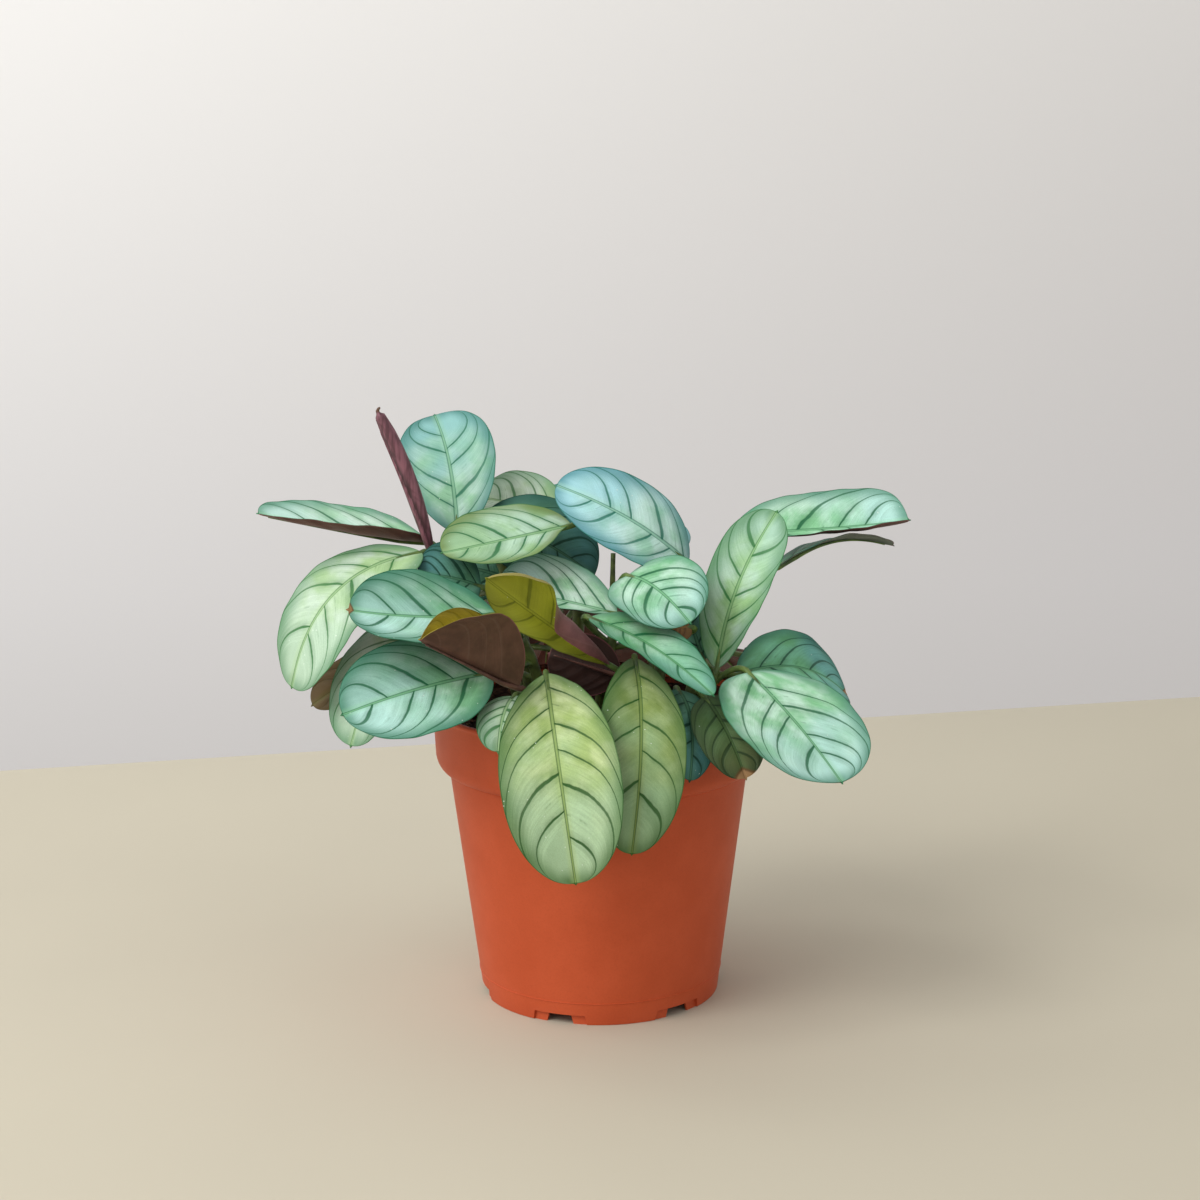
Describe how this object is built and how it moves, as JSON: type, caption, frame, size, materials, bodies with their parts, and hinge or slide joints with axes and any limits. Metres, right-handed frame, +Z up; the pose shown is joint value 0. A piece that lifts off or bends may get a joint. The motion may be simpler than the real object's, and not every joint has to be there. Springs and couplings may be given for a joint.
{
  "type": "potted ctenanthe",
  "caption": "Young ctenanthe with broad silvery leaves and dark curved side veins, in a round tapered plastic nursery pot of soil.",
  "frame": {"origin": "on the pot's axis, in the plane its foot ring stands on; the middle of the whole plant's box is above it to within 2 mm", "axes": "+Z up along the pot's axis, -Y towards the front, +X to the right as seen from the front"},
  "size_m": [0.2323, 0.165, 0.2133],
  "materials": {
    "pot": "satin moulded plastic",
    "soil": "matt, crumbly",
    "leaf_purple": "satin leaf, purple",
    "stem": "satin, living green stem",
    "leaf_blue": "satin leaf, blue",
    "leaf_mint": "satin leaf, mint",
    "leaf_pale": "satin leaf, pale",
    "leaf_teal": "satin leaf, teal",
    "leaf_olive": "satin leaf, olive",
    "leaf_yellow": "satin leaf, yellow",
    "leaf_tan": "satin leaf, tan"
  },
  "bodies": {
    "root": {"pot": "pot", "soil": "soil", "rolled_leaf": "leaf_purple", "stem_left": "stem", "stem_left_middle": "stem", "stem_left_back": "stem", "stem_front": "stem", "stem_centre": "stem", "stem_front_right": "stem", "stem_top_blue": "stem", "stem_top_centre": "stem", "stem_right": "stem", "stem_right_back": "stem", "stem_back": "stem", "stem_back_right": "stem", "stem_bare": "stem", "leaf_left_upright": "leaf_blue", "leaf_left_level": "leaf_mint", "leaf_left_drooping": "leaf_pale", "leaf_left_middle": "leaf_mint", "leaf_left_low": "leaf_mint", "leaf_left_under": "leaf_pale", "leaf_left_shaded": "leaf_teal", "leaf_left_inner": "leaf_teal", "leaf_left_old": "leaf_olive", "leaf_top_centre": "leaf_mint", "leaf_top_back": "leaf_pale", "leaf_centre_behind": "leaf_teal", "leaf_top_blue": "leaf_blue", "leaf_centre_broad": "leaf_mint", "leaf_centre_slanting": "leaf_mint", "leaf_centre_small": "leaf_pale", "leaf_right_upright": "leaf_pale", "leaf_right_top": "leaf_mint", "leaf_right_edgewise": "leaf_teal", "leaf_right_shaded": "leaf_teal", "leaf_right_oval": "leaf_mint", "leaf_right_olive": "leaf_olive", "leaf_right_low": "leaf_teal", "leaf_right_inner": "leaf_teal", "leaf_front_long": "leaf_yellow", "leaf_front_second": "leaf_yellow", "leaf_front_small": "leaf_pale", "leaf_dry": "leaf_tan", "young_leaf_folded": "leaf_purple", "young_leaf_olive": "leaf_olive", "young_leaf_purple": "leaf_purple", "leaf_back_left": "leaf_mint", "leaf_back_centre": "leaf_pale", "leaf_back_high": "leaf_blue", "leaf_back_right": "leaf_mint", "leaf_back_low_left": "leaf_teal", "leaf_back_low_right": "leaf_yellow", "leaf_back_side": "leaf_teal", "leaf_back_top": "leaf_blue", "leaf_back_crown": "leaf_pale", "leaf_back_upper_left": "leaf_mint", "leaf_back_upper_right": "leaf_mint"}
  },
  "joints": []
}
